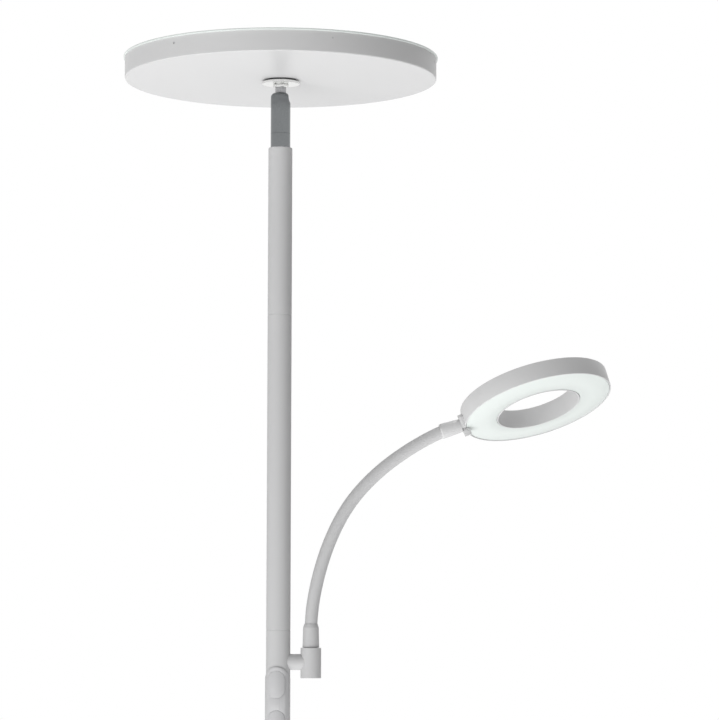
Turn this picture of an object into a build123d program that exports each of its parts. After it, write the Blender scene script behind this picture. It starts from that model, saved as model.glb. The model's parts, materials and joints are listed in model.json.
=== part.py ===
from math import cos, degrees, radians, sin
import os

from build123d import *

# Floor lamp: a round base, a segmented pole, an uplight on a slotted ball joint at the top, and a ring-shaped
# reading light on a gooseneck that swivels in a socket half-way up. Millimetres, +Z up, the floor at z = 0,
# the pole on the Z axis, the front at -Y and the reading arm towards +X.

# ---- height from the floor to the top of the uplight, and lengths of the pole's tubes below it
TOTAL_HEIGHT = 1800.0
UPPER_TUBE_LENGTH = 154.9
MIDDLE_TUBE_LENGTH = 287.4
CONTROL_TUBE_LENGTH = 287.4
LOWER_TUBE_COUNT = 3

# ---- pole tube
POLE_DIA = 22.0
POLE_WALL = 1.2
TUBE_END_CHAMFER = 0.3
COUPLER_LENGTH = 40.0
COUPLER_BORE_DIA = 13.0
PLUG_LENGTH = 26.0

# ---- base
BASE_DIA = 250.0
BASE_TOP_Z = 18.0
BASE_EDGE_RADIUS = 5.0
BASE_SHEET = 1.2
PAD_THICK = 2.0
PAD_MARGIN = 4.0
WEIGHT_GAP = 4.8
WEIGHT_HOLE_DIA = 11.0
NUT_POCKET_DIA = 30.0
NUT_POCKET_DEPTH = 9.0
CHANNEL_WIDTH = 9.0
CHANNEL_DEPTH = 8.0
COLLAR_DIA = 34.0
COLLAR_HEIGHT = 12.0
COLLAR_CHAMFER = 2.0
BASE_NUT_FLATS = 17.0
BASE_NUT_THICK = 5.0
BASE_WASHER_DIA = 24.0
BASE_WASHER_THICK = 1.6

# ---- cord grommet in the base's skirt, at the back
GROMMET_Z = 7.8
GROMMET_BORE_DIA = 5.8
GROMMET_BODY_DIA = 7.6
GROMMET_FLANGE_DIA = 10.0
GROMMET_FLANGE_THICK = 2.0
GROMMET_INNER_FLANGE_THICK = 2.4
GROMMET_INNER_GAP = 0.2

# ---- M10 hollow lamp thread, shared by the base stud, the joint collar and the head stud
THREAD_DIA = 10.0
THREAD_BORE_DIA = 6.0
THREAD_FIT = 0.05

# ---- slotted ball joint
JOINT_DIA = 18.2
JOINT_COLLAR_HEIGHT = 12.9
JOINT_SEAM_GAP = 0.2
JOINT_TOP_ABOVE_BALL = 4.2
JOINT_DOME_DROP = 3.6
JOINT_BULGE_OUT = 0.72
JOINT_BULGE_UP = 0.62
JOINT_LIP = 0.65
BALL_DIA = 14.2
BALL_FIT = 0.1
BALL_ABOVE_COLLAR = 33.7
SLOT_WIDTH = 10.6
SPIGOT_HEIGHT = 11.7
SPIGOT_FIT = 0.05
SPIGOT_GROOVE_DEPTH = 0.9
SPIGOT_GROOVE_WIDTH = 4.0
SPIGOT_GROOVE_HEIGHT = 5.7
SET_SCREW_DIA = 3.0
SEAT_TOP_BELOW_BALL = 5.6
SEAT_HEIGHT = 6.4
DISC_SPRING_COUNT = 4
DISC_SPRING_THICK = 1.0
DISC_SPRING_BORE_DIA = 8.0
DISC_SPRING_GAP = 0.05

# ---- uplight head
LOCK_NUT_ABOVE_BALL = 9.4
LOCK_NUT_FLATS = 13.6
LOCK_NUT_THICK = 3.3
FLANGE_DIA = 35.0
FLANGE_THICK = 2.0
FLANGE_EDGE_RADIUS = 0.6
HEAD_WASHER_DIA = 30.0
HEAD_WASHER_THICK = 1.6
PAN_DIA = 287.0
PAN_HEIGHT = 18.8
PAN_SHEET = 1.5
PAN_EDGE_RADIUS = 1.0
DIFFUSER_THICK = 1.9
DIFFUSER_OVERHANG = 1.3
DIFFUSER_SPIGOT_WIDTH = 3.0
DIFFUSER_SPIGOT_DEPTH = 7.0
DIFFUSER_FIT = 0.15
CLIP_SCREW_COUNT = 6
CLIP_SCREW_DIA = 2.0
CLIP_SCREW_DROP = 5.5
CLIP_SCREW_TURN = 20.0
SPREADER_MARGIN = 11.0
SPREADER_THICK = 2.0
HEAD_BOARD_MARGIN = 13.0
HEAD_BOARD_BORE_DIA = 60.0
HEAD_BOARD_THICK = 1.2
HEAD_CHIP_COUNT = 24
HEAD_CHIP_MARGIN = 18.0
HEAD_CHIP_SIZE = 5.0
CHIP_THICK = 0.8
HEAD_SCREW_COUNT = 4
HEAD_SCREW_CIRCLE_DIA = 80.0
HEAD_SCREW_DIA = 3.0
HEAD_SCREW_HEAD_DIA = 5.5
HEAD_SCREW_HEAD_THICK = 1.8
TOP_NUT_FLATS = 14.0
TOP_NUT_THICK = 3.0

# ---- reading arm: stub, socket and ferrule
ARM_BELOW_SEAM = 28.7
ARM_STUB_DIA = 14.4
ARM_STUB_BORE_DIA = 6.0
ARM_SPIGOT_REACH = 2.6
ARM_NUT_FLATS = 14.0
ARM_NUT_THICK = 2.4
ARM_WASHER_DIA = 15.0
ARM_CONTACT_GAP = 0.02
SOCKET_X = 29.6
SOCKET_DIA = 18.7
SOCKET_HEIGHT = 27.5
SOCKET_BOTTOM_BELOW_ARM = 14.7
SOCKET_WELL_DIA = 16.4
SOCKET_WELL_DEPTH = 6.0
SOCKET_EDGE_CHAMFER = 0.3
STEM_DIA = 11.9
STEM_FIT = 0.05
SWIVEL_GAP = 0.3
FERRULE_BOTTOM_DIA = 15.2
FERRULE_TOP_DIA = 14.3
FERRULE_HEIGHT = 17.8
FERRULE_CHAMFER_HEIGHT = 3.3
FERRULE_LIP = 0.3
NECK_SEAT_DEPTH = 4.3
SWIVEL_WASHER_DIA = 15.8
SWIVEL_WASHER_THICK = 1.2
SWIVEL_SCREW_DIA = 6.0
SWIVEL_SCREW_HEAD_DIA = 11.0
SWIVEL_SCREW_HEAD_THICK = 2.6
SWIVEL_SCREW_LENGTH = 12.0
SWIVEL_SCREW_BORE_DIA = 3.6

# ---- gooseneck: equal links, each an arc that turns the neck down towards +X, in degrees
NECK_DIA = 11.5
NECK_BORE_DIA = 6.4
NECK_FIT = 0.15
NECK_LINK_LENGTH = 35.0
NECK_LINK_TURNS = (10.5, 7.6, 9.4, 14.0, 10.8, 7.9, 9.0)
NECK_BALL_GAP = 0.3

# ---- ring light, placed from the neck's end
RING_DIA = 137.0
RING_HOLE_DIA = 76.0
RING_HEIGHT = 18.0
RING_INNER_DROP = 1.6
RING_WALL = 1.2
RING_TOP_PLATE = 1.5
RING_EDGE_CHAMFER = 0.3
RING_TILT = 15.6
RING_ROLL = 16.9
RING_SEAT_HEIGHT = 5.2
RING_DIFFUSER_THICK = 2.0
RING_DIFFUSER_RECESS = 0.4
RING_DIFFUSER_FIT = 0.1
RING_BOARD_THICK = 1.4
RING_BOARD_MARGIN = 2.0
RING_CHIP_COUNT = 24
RING_CHIP_SIZE = 3.0
RING_FERRULE_NECK_DIA = 13.5
RING_FERRULE_SEAT_DIA = 14.3
RING_FERRULE_LENGTH = 20.0
RING_FERRULE_CHAMFER = 1.0
RING_FERRULE_PAST_NECK = 5.5
SADDLE_THICK = 3.4
SADDLE_LENGTH = 20.4
SADDLE_DROP = 1.8
SADDLE_WIDTH = 15.0
SADDLE_REACH = 9.3
SADDLE_CORNER_RADIUS = 4.0
SADDLE_GAP = 0.05
SADDLE_SCREW_DIA = 3.0
SADDLE_SCREW_HEAD_DIA = 5.4
SADDLE_SCREW_HEAD_THICK = 1.6
SADDLE_SCREW_LENGTH = 4.0
SADDLE_SCREW_SPACING = 7.0

# ---- control bezel and buttons, on the front of the pole below the arm
PANEL_TURN = -7.0
PANEL_BELOW_SEAM = 33.3
PANEL_HEIGHT = 67.5
PANEL_WIDTH = 22.6
PANEL_THICK = 1.0
PANEL_GAP = 0.02
BUTTON_WIDTH = 15.4
BUTTON_HEIGHT = 24.7
BUTTON_PITCH = 35.5
BUTTON_PROUD = 0.9
BUTTON_GAP = 0.3
BUTTON_WALL = 1.3
BUTTON_TRAVEL = 0.8
BUTTON_LIP = 0.7
BUTTON_LIP_FRONT = 4.9
BUTTON_LIP_BACK = 4.0
BUTTON_POST_DIA = 4.0
BUTTON_EDGE_CHAMFER = 0.35
BOARD_THICK = 1.2
BOARD_WIDTH = 11.0
BOARD_FACE = 1.0
SWITCH_SIZE = 6.0
SWITCH_THICK = 3.4
SWITCH_PLUNGER_DIA = 3.2
SWITCH_PLUNGER_REACH = 0.8
SWITCH_GAP = 0.1
CARRIER_THICK = 2.8
CARRIER_END_MARGIN = 4.0

# ---- sizes that follow
POLE_RADIUS = POLE_DIA / 2
POLE_BORE_RADIUS = POLE_RADIUS - POLE_WALL
THREAD_RADIUS = THREAD_DIA / 2
PAN_TOP_Z = TOTAL_HEIGHT - DIFFUSER_THICK
PAN_Z = PAN_TOP_Z - PAN_HEIGHT
HEAD_WASHER_Z = PAN_Z - HEAD_WASHER_THICK
FLANGE_Z = HEAD_WASHER_Z - FLANGE_THICK
LOCK_NUT_Z = FLANGE_Z - LOCK_NUT_THICK
BALL_Z = LOCK_NUT_Z - LOCK_NUT_ABOVE_BALL
COLLAR_TOP_Z = BALL_Z - BALL_ABOVE_COLLAR
POLE_TOP_Z = COLLAR_TOP_Z - JOINT_COLLAR_HEIGHT
UPPER_SEAM_Z = POLE_TOP_Z - UPPER_TUBE_LENGTH
CONTROL_SEAM_Z = UPPER_SEAM_Z - MIDDLE_TUBE_LENGTH
LOWER_SEAM_Z = CONTROL_SEAM_Z - CONTROL_TUBE_LENGTH
PAD_DIA = BASE_DIA - 2 * PAD_MARGIN
WEIGHT_DIA = BASE_DIA - 2 * (BASE_SHEET + WEIGHT_GAP)
BALL_RADIUS = BALL_DIA / 2
JOINT_BORE_RADIUS = BALL_RADIUS + BALL_FIT
SPREADER_Z = PAN_Z + PAN_SHEET
SPREADER_TOP_Z = SPREADER_Z + SPREADER_THICK
SPREADER_DIA = PAN_DIA - 2 * (PAN_SHEET + SPREADER_MARGIN)
HEAD_BOARD_DIA = SPREADER_DIA - 2 * HEAD_BOARD_MARGIN
HEAD_CHIP_CIRCLE_DIA = HEAD_BOARD_DIA - 2 * HEAD_CHIP_MARGIN
ARM_Z = CONTROL_SEAM_Z - ARM_BELOW_SEAM
SOCKET_Z = ARM_Z - SOCKET_BOTTOM_BELOW_ARM
SOCKET_TOP_Z = SOCKET_Z + SOCKET_HEIGHT
FERRULE_Z = SOCKET_TOP_Z + SWIVEL_GAP
FERRULE_TOP_Z = FERRULE_Z + FERRULE_HEIGHT
NECK_START_Z = FERRULE_TOP_Z - NECK_SEAT_DEPTH
NECK_RADIUS = NECK_DIA / 2
PANEL_MID_Z = CONTROL_SEAM_Z - PANEL_BELOW_SEAM - PANEL_HEIGHT / 2
BUTTON_UP_Z = PANEL_MID_Z + BUTTON_PITCH / 2
BUTTON_DOWN_Z = PANEL_MID_Z - BUTTON_PITCH / 2
BUTTON_REACH = POLE_RADIUS + PANEL_THICK + BUTTON_PROUD
BOTTOM = (Align.CENTER, Align.CENTER, Align.MIN)


def rod(radius, low, high):
    """An upright cylinder on the Z axis."""
    return Pos(0, 0, low) * Cylinder(radius, high - low, align=BOTTOM)


def tube(outer, inner, low, high):
    """An upright tube on the Z axis, by its two radii."""
    return rod(outer, low, high) - rod(inner, low - 1, high + 1)


def turned(points):
    """A solid turned on the Z axis from its half profile, as (radius, height) points."""
    outline = Polyline(*[(r, 0, z) for r, z in points], close=True)
    return revolve(make_face(outline), Axis.Z)


def hex_nut(flats, bore, low, high):
    """A nut with a corner to the front."""
    body = Pos(0, 0, low) * extrude(RegularPolygon(flats / 2, 6, major_radius=False, rotation=30), high - low)
    return body - rod(bore, low - 1, high + 1)


def along_x(shape):
    """Lays an upright shape down, so that its +Z points to +X."""
    return Rot(0, 90, 0) * shape


def ring_of(shape, count, start=0.0):
    """Copies of a shape, evenly spaced round the Z axis."""
    return [Rot(0, 0, start + 360 * i / count) * shape for i in range(count)]


def group(shapes):
    return Compound(children=[s.solid() for s in shapes])


# ---- base

def base_pad():
    return rod(PAD_DIA / 2, 0, PAD_THICK)


def base_weight():
    top = BASE_TOP_Z - BASE_SHEET
    body = rod(WEIGHT_DIA / 2, PAD_THICK, top)
    body -= rod(WEIGHT_HOLE_DIA / 2, 0, BASE_TOP_Z)
    body -= rod(NUT_POCKET_DIA / 2, 0, PAD_THICK + NUT_POCKET_DEPTH)
    channel = Box(CHANNEL_WIDTH, WEIGHT_DIA, CHANNEL_DEPTH, align=(Align.CENTER, Align.MIN, Align.MIN))
    return body - Pos(0, 0, PAD_THICK) * channel


def base_cover():
    outer = rod(BASE_DIA / 2, PAD_THICK, BASE_TOP_Z)
    outer = fillet(outer.edges().sort_by(Axis.Z)[-1], BASE_EDGE_RADIUS)
    inner = rod(BASE_DIA / 2 - BASE_SHEET, PAD_THICK, BASE_TOP_Z - BASE_SHEET)
    inner = fillet(inner.edges().sort_by(Axis.Z)[-1], BASE_EDGE_RADIUS - BASE_SHEET)
    shell = outer - inner - rod(WEIGHT_HOLE_DIA / 2, 0, BASE_TOP_Z + 1)
    hole = Cylinder(GROMMET_BODY_DIA / 2 + THREAD_FIT, BASE_DIA, align=BOTTOM)
    return shell - Pos(0, 0, GROMMET_Z) * Rot(-90, 0, 0) * hole


def base_collar():
    body = rod(COLLAR_DIA / 2, BASE_TOP_Z, BASE_TOP_Z + COLLAR_HEIGHT)
    body = chamfer(body.edges().sort_by(Axis.Z)[-1], COLLAR_CHAMFER)
    return body - rod(POLE_RADIUS + THREAD_FIT, 0, 2 * BASE_TOP_Z + COLLAR_HEIGHT)


def base_washer():
    top = PAD_THICK + NUT_POCKET_DEPTH
    return tube(BASE_WASHER_DIA / 2, THREAD_RADIUS + THREAD_FIT, top - BASE_WASHER_THICK, top)


def base_nut():
    top = PAD_THICK + NUT_POCKET_DEPTH - BASE_WASHER_THICK
    return hex_nut(BASE_NUT_FLATS, THREAD_RADIUS + THREAD_FIT, top - BASE_NUT_THICK, top)


def base_stud():
    low = PAD_THICK + NUT_POCKET_DEPTH - BASE_WASHER_THICK - BASE_NUT_THICK
    return tube(THREAD_RADIUS, THREAD_BORE_DIA / 2, low, BASE_TOP_Z + PLUG_LENGTH)


def pole_foot_plug():
    return tube(POLE_BORE_RADIUS - THREAD_FIT, THREAD_RADIUS + THREAD_FIT, BASE_TOP_Z, BASE_TOP_Z + PLUG_LENGTH)


def cord_grommet():
    """A bush through the skirt, with a flange on each side of the sheet."""
    skirt = BASE_DIA / 2
    inner_face = skirt - BASE_SHEET - GROMMET_INNER_GAP
    low = inner_face - GROMMET_INNER_FLANGE_THICK
    outer_face = skirt + THREAD_FIT
    high = outer_face + GROMMET_FLANGE_THICK
    body = rod(GROMMET_BODY_DIA / 2, low, high)
    body += rod(GROMMET_FLANGE_DIA / 2, low, inner_face)
    body += rod(GROMMET_FLANGE_DIA / 2, outer_face, high)
    body -= rod(GROMMET_BORE_DIA / 2, 0, 2 * skirt)
    return Pos(0, 0, GROMMET_Z) * Rot(-90, 0, 0) * body


# ---- pole

def seam_heights():
    """Heights where one tube ends and the next begins, from the base to the top."""
    step = (LOWER_SEAM_Z - BASE_TOP_Z) / LOWER_TUBE_COUNT
    lower = [BASE_TOP_Z + step * i for i in range(LOWER_TUBE_COUNT + 1)]
    return lower + [CONTROL_SEAM_Z, UPPER_SEAM_Z, POLE_TOP_Z]


def pole_tube(low, high):
    body = rod(POLE_RADIUS, low, high)
    body = chamfer(body.edges().filter_by(GeomType.CIRCLE), TUBE_END_CHAMFER)
    return body - rod(POLE_BORE_RADIUS, low - 1, high + 1)


def tube_couplers():
    inner_seams = seam_heights()[1:-1]
    half = COUPLER_LENGTH / 2
    outer = POLE_BORE_RADIUS - THREAD_FIT
    return group([tube(outer, COUPLER_BORE_DIA / 2, z - half, z + half) for z in inner_seams])


def control_tube(low, high):
    """The tube that carries the arm and the buttons."""
    body = pole_tube(low, high)
    body -= Pos(0, 0, ARM_Z) * along_x(rod(THREAD_RADIUS + THREAD_FIT, 0, POLE_DIA))
    for z in (BUTTON_UP_Z, BUTTON_DOWN_Z):
        body -= on_panel(button_prism(BUTTON_GAP, 0, POLE_DIA), z)
    return body


def pole_top_plug():
    low = POLE_TOP_Z - PLUG_LENGTH
    return tube(POLE_BORE_RADIUS - THREAD_FIT, THREAD_RADIUS + THREAD_FIT, low, POLE_TOP_Z)


# ---- slotted ball joint

def joint_collar():
    spigot_radius = JOINT_BORE_RADIUS - SPIGOT_FIT
    top = COLLAR_TOP_Z + SPIGOT_HEIGHT
    body = rod(THREAD_RADIUS, POLE_TOP_Z - PLUG_LENGTH / 2, top)
    body += rod(JOINT_DIA / 2, POLE_TOP_Z, COLLAR_TOP_Z)
    body += rod(spigot_radius, POLE_TOP_Z, top)
    groove_z = COLLAR_TOP_Z + SPIGOT_GROOVE_HEIGHT
    half = SPIGOT_GROOVE_WIDTH / 2
    body -= tube(spigot_radius + 1, spigot_radius - SPIGOT_GROOVE_DEPTH, groove_z - half, groove_z + half)
    return body - rod(THREAD_BORE_DIA / 2, 0, TOTAL_HEIGHT)


def joint_housing():
    """A cup that holds the ball, domed at the mouth, with a slot that lets the stud fold down to one side."""
    low = COLLAR_TOP_Z + JOINT_SEAM_GAP
    top = BALL_Z + JOINT_TOP_ABOVE_BALL
    mouth = (JOINT_BORE_RADIUS ** 2 - JOINT_TOP_ABOVE_BALL ** 2) ** 0.5
    shoulder_z = top - JOINT_DOME_DROP
    rim = mouth + JOINT_LIP
    bulge = (rim + (JOINT_DIA / 2 - rim) * JOINT_BULGE_OUT, shoulder_z + JOINT_DOME_DROP * JOINT_BULGE_UP)
    side = Polyline((rim, top), (0, top), (0, low), (JOINT_DIA / 2, low), (JOINT_DIA / 2, shoulder_z))
    dome = ThreePointArc((JOINT_DIA / 2, shoulder_z), bulge, (rim, top))
    body = revolve(Plane.XZ * make_face([side, dome]), Axis.Z)
    body -= rod(JOINT_BORE_RADIUS, low - 1, BALL_Z)
    body -= Pos(0, 0, BALL_Z) * Sphere(JOINT_BORE_RADIUS)
    slot = along_x(rod(SLOT_WIDTH / 2, 0, JOINT_DIA))
    slot += Box(JOINT_DIA, SLOT_WIDTH, JOINT_DIA, align=(Align.MIN, Align.CENTER, Align.MIN))
    body -= Pos(0, 0, BALL_Z) * slot
    return body - set_screw_place() * rod(SET_SCREW_DIA / 2 + THREAD_FIT, 0, JOINT_DIA)


def set_screw_place():
    """Radial towards the back, at the height of the spigot's groove."""
    return Pos(0, 0, COLLAR_TOP_Z + SPIGOT_GROOVE_HEIGHT) * Rot(-90, 0, 0)


def housing_set_screw():
    tip = JOINT_BORE_RADIUS - SPIGOT_FIT - SPIGOT_GROOVE_DEPTH + BALL_FIT
    return set_screw_place() * rod(SET_SCREW_DIA / 2, tip, JOINT_DIA / 2 - BALL_FIT)


def ball_seat():
    top = BALL_Z - SEAT_TOP_BELOW_BALL
    body = tube(JOINT_BORE_RADIUS - BALL_FIT, THREAD_BORE_DIA / 2, top - SEAT_HEIGHT, top)
    return body - Pos(0, 0, BALL_Z) * Sphere(JOINT_BORE_RADIUS)


def disc_springs():
    """Dished washers, stacked cup to cup between the spigot and the seat."""
    low = COLLAR_TOP_Z + SPIGOT_HEIGHT
    high = BALL_Z - SEAT_TOP_BELOW_BALL - SEAT_HEIGHT
    pitch = (high - low) / DISC_SPRING_COUNT
    outer = JOINT_BORE_RADIUS - 2 * BALL_FIT
    inner = DISC_SPRING_BORE_DIA / 2
    rise = pitch - DISC_SPRING_THICK - DISC_SPRING_GAP
    discs = []
    for i in range(DISC_SPRING_COUNT):
        z = low + pitch * i + DISC_SPRING_GAP / 2
        rim, eye = (0, rise) if i % 2 else (rise, 0)
        profile = [(inner, z + eye), (outer, z + rim)]
        profile += [(outer, z + rim + DISC_SPRING_THICK), (inner, z + eye + DISC_SPRING_THICK)]
        discs.append(turned(profile))
    return group(discs)


# ---- uplight head

def head_stud():
    """Hollow threaded stud, with the ball at its foot."""
    top = SPREADER_TOP_Z + TOP_NUT_THICK + 1
    body = Pos(0, 0, BALL_Z) * Sphere(BALL_RADIUS)
    body += rod(THREAD_RADIUS, BALL_Z, top)
    return body - rod(THREAD_BORE_DIA / 2, BALL_Z - BALL_DIA, top + 1)


def lock_nut():
    return hex_nut(LOCK_NUT_FLATS, THREAD_RADIUS + THREAD_FIT, LOCK_NUT_Z, FLANGE_Z)


def head_flange():
    body = rod(FLANGE_DIA / 2, FLANGE_Z, HEAD_WASHER_Z)
    body = fillet(body.edges().filter_by(GeomType.CIRCLE), FLANGE_EDGE_RADIUS)
    return body - rod(THREAD_RADIUS + THREAD_FIT, 0, TOTAL_HEIGHT)


def head_washer():
    return tube(HEAD_WASHER_DIA / 2, THREAD_RADIUS + THREAD_FIT, HEAD_WASHER_Z, PAN_Z)


def head_top_nut():
    top = SPREADER_TOP_Z + TOP_NUT_THICK
    return hex_nut(TOP_NUT_FLATS, THREAD_RADIUS + THREAD_FIT, SPREADER_TOP_Z, top)


def head_pan():
    body = rod(PAN_DIA / 2, PAN_Z, PAN_TOP_Z)
    body = fillet(body.edges().sort_by(Axis.Z)[0], PAN_EDGE_RADIUS)
    body -= rod(PAN_DIA / 2 - PAN_SHEET, PAN_Z + PAN_SHEET, TOTAL_HEIGHT)
    body -= rod(THREAD_RADIUS + THREAD_FIT, 0, TOTAL_HEIGHT)
    for hole in ring_of(clip_screw_rod(THREAD_FIT, -PAN_SHEET, PAN_SHEET), CLIP_SCREW_COUNT):
        body -= hole
    return body


def clip_screw_rod(fit, inwards, outwards):
    """A radial rod at the height of the clip screws, from and to distances past the pan's outside."""
    bar = rod(CLIP_SCREW_DIA / 2 + fit, PAN_DIA / 2 + inwards - fit, PAN_DIA / 2 + outwards)
    return Pos(0, 0, PAN_TOP_Z - CLIP_SCREW_DROP) * Rot(0, 0, CLIP_SCREW_TURN - 90) * along_x(bar)


def diffuser_clip_screws():
    deep = -(PAN_SHEET + DIFFUSER_SPIGOT_WIDTH)
    return group(ring_of(clip_screw_rod(0, deep, -PAN_SHEET / 4), CLIP_SCREW_COUNT))


def head_diffuser():
    spigot = PAN_DIA / 2 - PAN_SHEET - DIFFUSER_FIT
    body = rod(PAN_DIA / 2 + DIFFUSER_OVERHANG, PAN_TOP_Z, PAN_TOP_Z + DIFFUSER_THICK)
    body += tube(spigot, spigot - DIFFUSER_SPIGOT_WIDTH, PAN_TOP_Z - DIFFUSER_SPIGOT_DEPTH, PAN_TOP_Z)
    deep = -(PAN_SHEET + DIFFUSER_SPIGOT_WIDTH)
    for hole in ring_of(clip_screw_rod(THREAD_FIT, deep, 0), CLIP_SCREW_COUNT):
        body -= hole
    return body


def heat_spreader():
    body = tube(SPREADER_DIA / 2, THREAD_RADIUS + THREAD_FIT, SPREADER_Z, SPREADER_TOP_Z)
    for hole in head_screw_places(rod(HEAD_SCREW_DIA / 2 + THREAD_FIT, SPREADER_Z - 1, SPREADER_TOP_Z + 1)):
        body -= hole
    return body


def head_screw_places(shape):
    return ring_of(Pos(HEAD_SCREW_CIRCLE_DIA / 2, 0, 0) * shape, HEAD_SCREW_COUNT, 45)


def head_led_board():
    top = SPREADER_TOP_Z + HEAD_BOARD_THICK
    board = tube(HEAD_BOARD_DIA / 2, HEAD_BOARD_BORE_DIA / 2, SPREADER_TOP_Z, top)
    for hole in head_screw_places(rod(HEAD_SCREW_DIA / 2 + THREAD_FIT, SPREADER_TOP_Z - 1, top + 1)):
        board -= hole
    chip = Pos(HEAD_CHIP_CIRCLE_DIA / 2, 0, top) * Box(HEAD_CHIP_SIZE, HEAD_CHIP_SIZE, CHIP_THICK, align=BOTTOM)
    return group([board] + ring_of(chip, HEAD_CHIP_COUNT))


def head_board_screws():
    top = SPREADER_TOP_Z + HEAD_BOARD_THICK
    screw = rod(HEAD_SCREW_DIA / 2, SPREADER_Z, top)
    screw += rod(HEAD_SCREW_HEAD_DIA / 2, top, top + HEAD_SCREW_HEAD_THICK)
    return group(head_screw_places(screw))


# ---- control bezel and buttons, made facing the front and then turned to PANEL_TURN

def on_panel(shape, z):
    return Rot(0, 0, PANEL_TURN) * Pos(0, 0, z) * shape


def front_slot(length, width, near, far):
    """An upright round-ended bar that runs out towards the front, between two distances from the pole axis."""
    outline = SlotOverall(length, width, rotation=90)
    return Rot(90, 0, 0) * Pos(0, 0, near) * extrude(outline, far - near)


def button_prism(margin, near, far):
    return front_slot(BUTTON_HEIGHT + 2 * margin, BUTTON_WIDTH + 2 * margin, near, far)


def control_bezel():
    """A saddle round the front of the tube, with arched ends and a hole for each button."""
    half = PANEL_HEIGHT / 2
    body = tube(POLE_RADIUS + PANEL_THICK, POLE_RADIUS + PANEL_GAP, -half - 1, half + 1)
    body &= front_slot(PANEL_HEIGHT, PANEL_WIDTH, 0, POLE_DIA)
    for z in (BUTTON_PITCH / 2, -BUTTON_PITCH / 2):
        body -= Pos(0, 0, z) * button_prism(BUTTON_GAP, 0, POLE_DIA)
    return on_panel(body, PANEL_MID_Z)


def button(z):
    """A hollow cap with the tube's curve, a lip inside the tube that keeps it in, and a post to its switch."""
    cap = button_prism(0, BUTTON_LIP_BACK, POLE_DIA)
    cap &= rod(BUTTON_REACH, -BUTTON_HEIGHT, BUTTON_HEIGHT)
    cap = chamfer(cap.faces().sort_by(Axis.Y)[0].edges(), BUTTON_EDGE_CHAMFER)
    cap += button_prism(BUTTON_LIP, BUTTON_LIP_BACK, BUTTON_LIP_FRONT)
    hollow = button_prism(-BUTTON_WALL, 0, POLE_DIA)
    hollow &= rod(BUTTON_REACH - BUTTON_WALL, -BUTTON_HEIGHT, BUTTON_HEIGHT)
    post_end = BOARD_FACE + SWITCH_THICK + SWITCH_PLUNGER_REACH + BUTTON_TRAVEL + SWITCH_GAP
    post = Rot(90, 0, 0) * rod(BUTTON_POST_DIA / 2, post_end, BUTTON_REACH - BUTTON_WALL / 2)
    return on_panel(cap - hollow + post, z)


def control_board():
    low = BUTTON_DOWN_Z - BUTTON_HEIGHT / 2
    length = BUTTON_PITCH + BUTTON_HEIGHT
    board = Box(BOARD_WIDTH, BOARD_THICK, length, align=(Align.CENTER, Align.MIN, Align.MIN))
    return on_panel(Pos(0, -BOARD_FACE, 0) * board, low)


def tact_switches():
    body = Rot(90, 0, 0) * Pos(0, 0, BOARD_FACE) * Box(SWITCH_SIZE, SWITCH_SIZE, SWITCH_THICK, align=BOTTOM)
    face = BOARD_FACE + SWITCH_THICK
    body += Rot(90, 0, 0) * rod(SWITCH_PLUNGER_DIA / 2, face, face + SWITCH_PLUNGER_REACH)
    return group([on_panel(body, BUTTON_UP_Z), on_panel(body, BUTTON_DOWN_Z)])


def board_carrier():
    """A plastic bar behind the board, which fits the tube's bore."""
    back = BOARD_THICK - BOARD_FACE
    length = BUTTON_PITCH + BUTTON_HEIGHT + CARRIER_END_MARGIN
    bar = Box(POLE_DIA, CARRIER_THICK, length, align=(Align.CENTER, Align.MIN, Align.MIN))
    bar = Pos(0, back, 0) * bar
    bar &= rod(POLE_BORE_RADIUS - THREAD_FIT, -1, length + 1)
    return on_panel(bar, BUTTON_DOWN_Z - BUTTON_HEIGHT / 2 - CARRIER_END_MARGIN)


# ---- reading arm

def arm_stub():
    """A short bar from the pole to the socket, with a threaded spigot through the pole's wall."""
    body = rod(ARM_STUB_DIA / 2, 0, SOCKET_X) + rod(THREAD_RADIUS, 0, POLE_RADIUS)
    body = Pos(0, 0, ARM_Z) * along_x(body)
    body -= Pos(0, 0, ARM_Z) * rod(POLE_RADIUS + ARM_CONTACT_GAP, -ARM_STUB_DIA, ARM_STUB_DIA)
    spigot = Pos(0, 0, ARM_Z) * along_x(rod(THREAD_RADIUS, ARM_SPIGOT_REACH, POLE_DIA))
    spigot &= Pos(0, 0, ARM_Z) * rod(POLE_RADIUS + 1, -ARM_STUB_DIA, ARM_STUB_DIA)
    body += spigot
    body -= Pos(SOCKET_X, 0, ARM_Z) * rod(SOCKET_DIA / 2 + ARM_CONTACT_GAP, -ARM_STUB_DIA, ARM_STUB_DIA)
    return body - Pos(0, 0, ARM_Z) * along_x(rod(ARM_STUB_BORE_DIA / 2, 0, SOCKET_X))


def arm_washer():
    """Flat to the nut, curved to the inside of the pole."""
    near = ARM_SPIGOT_REACH + ARM_NUT_THICK
    disc = Pos(0, 0, ARM_Z) * along_x(tube(ARM_WASHER_DIA / 2, THREAD_RADIUS + THREAD_FIT, near, POLE_RADIUS))
    return disc & rod(POLE_BORE_RADIUS - ARM_CONTACT_GAP, ARM_Z - ARM_WASHER_DIA, ARM_Z + ARM_WASHER_DIA)


def arm_nut():
    near = ARM_SPIGOT_REACH
    nut = hex_nut(ARM_NUT_FLATS, THREAD_RADIUS + THREAD_FIT, near, near + ARM_NUT_THICK)
    return Pos(0, 0, ARM_Z) * along_x(nut)


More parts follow.
